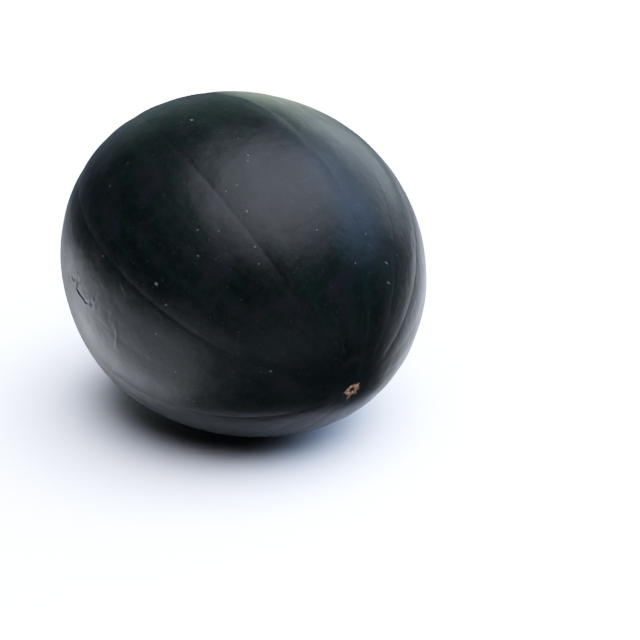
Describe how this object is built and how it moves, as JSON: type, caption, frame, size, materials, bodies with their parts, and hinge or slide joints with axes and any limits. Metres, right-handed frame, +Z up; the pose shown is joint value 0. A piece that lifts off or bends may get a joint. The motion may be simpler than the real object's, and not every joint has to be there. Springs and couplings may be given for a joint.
{
  "type": "watermelon",
  "caption": "Whole round-oval fruit with a dark, waxy, softly furrowed rind, a cut stalk stub in a dimple and a corky star scar, resting on a small flat spot.",
  "frame": {"origin": "centre of the flat spot on the underside, on the surface that the fruit rests on", "axes": "+Z up; in plan the long axis runs along X, with the stem end at -X and the blossom end, the lower one, at +X"},
  "size_m": [0.2444, 0.2253, 0.2036],
  "materials": {
    "rind": "smooth waxy black-green rind with a thin bloom, satin to glossy",
    "dried_stalk": "dry, ridged, corky stalk, matt"
  },
  "bodies": {
    "root": {"watermelon": "rind", "stem_stub": "dried_stalk"}
  },
  "joints": []
}
